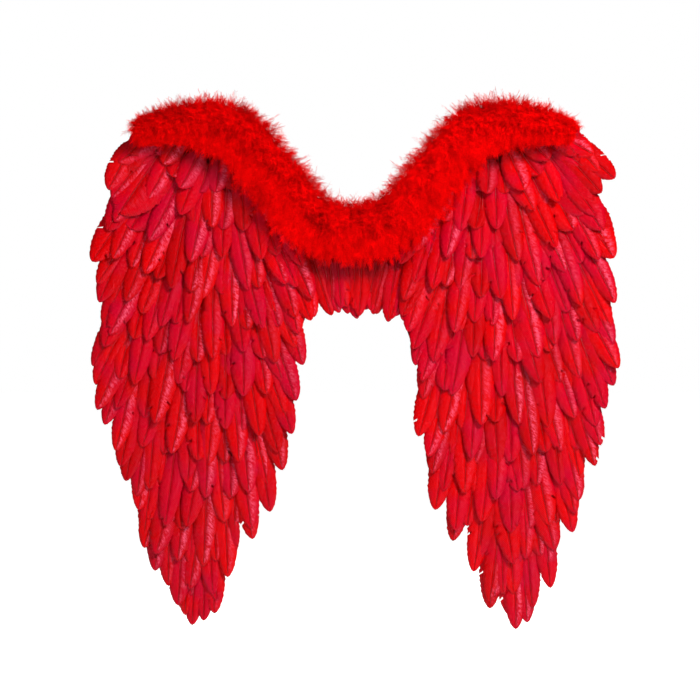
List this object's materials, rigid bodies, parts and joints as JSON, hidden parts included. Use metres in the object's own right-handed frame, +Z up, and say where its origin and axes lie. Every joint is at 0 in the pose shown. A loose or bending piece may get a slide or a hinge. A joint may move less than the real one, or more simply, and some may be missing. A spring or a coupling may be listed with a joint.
{
  "type": "feather costume wings",
  "caption": "Feather angel wings with a fluffy marabou top edge, folding on a padded centre board and worn on elastic arm loops.",
  "frame": {"origin": "middle of the back pad's outer face, which rests on the wearer's back", "axes": "+Y towards the wearer, out of the pad; +Z up; +X towards the right wing; the feathered face looks to -Y"},
  "size_m": [0.6576, 0.1646, 0.6578],
  "materials": {
    "satin_feather": "satin sheen along the barbs",
    "marabou": "soft matt down",
    "cover_cloth": "matt nonwoven cloth",
    "backing_felt": "matt felt",
    "stiff_card": "dense grey-brown card",
    "steel_wire": "drawn wire",
    "plated_steel": "nickel plated",
    "elastic_webbing": "ribbed elastic",
    "pad_cloth": "brushed cloth over soft foam"
  },
  "bodies": {
    "centre": {"back_pad": "pad_cloth", "centre_board": "stiff_card", "centre_feathers": "satin_feather", "centre_felt": "backing_felt", "centre_front_cover": "cover_cloth", "centre_marabou": "marabou", "clip_pins": "plated_steel", "left_arm_loop": "elastic_webbing", "left_hinge_clips": "plated_steel", "right_arm_loop": "elastic_webbing", "right_hinge_clips": "plated_steel", "strap_rivets": "plated_steel"},
    "left_wing": {"left_feathers_01": "satin_feather", "left_feathers_02": "satin_feather", "left_feathers_03": "satin_feather", "left_feathers_04": "satin_feather", "left_feathers_05": "satin_feather", "left_feathers_06": "satin_feather", "left_feathers_07": "satin_feather", "left_feathers_08": "satin_feather", "left_feathers_09": "satin_feather", "left_feathers_10": "satin_feather", "left_feathers_11": "satin_feather", "left_feathers_12": "satin_feather", "left_feathers_13": "satin_feather", "left_feathers_14": "satin_feather", "left_front_cover": "cover_cloth", "left_marabou": "marabou", "left_rear_felt": "backing_felt", "left_wing_board": "stiff_card", "left_wire_frame": "steel_wire"},
    "right_wing": {"right_feathers_01": "satin_feather", "right_feathers_02": "satin_feather", "right_feathers_03": "satin_feather", "right_feathers_04": "satin_feather", "right_feathers_05": "satin_feather", "right_feathers_06": "satin_feather", "right_feathers_07": "satin_feather", "right_feathers_08": "satin_feather", "right_feathers_09": "satin_feather", "right_feathers_10": "satin_feather", "right_feathers_11": "satin_feather", "right_feathers_12": "satin_feather", "right_feathers_13": "satin_feather", "right_feathers_14": "satin_feather", "right_front_cover": "cover_cloth", "right_marabou": "marabou", "right_rear_felt": "backing_felt", "right_wing_board": "stiff_card", "right_wire_frame": "steel_wire"}
  },
  "joints": [
    {"name": "left_wing_fold", "type": "hinge", "parent": "centre", "child": "left_wing", "pos_m": [-0.053, -0.014, 0], "axis": [0, 0, 1], "range_deg": [-15, 70]},
    {"name": "right_wing_fold", "type": "hinge", "parent": "centre", "child": "right_wing", "pos_m": [0.053, -0.014, 0], "axis": [0, 0, -1], "range_deg": [-15, 70]}
  ]
}
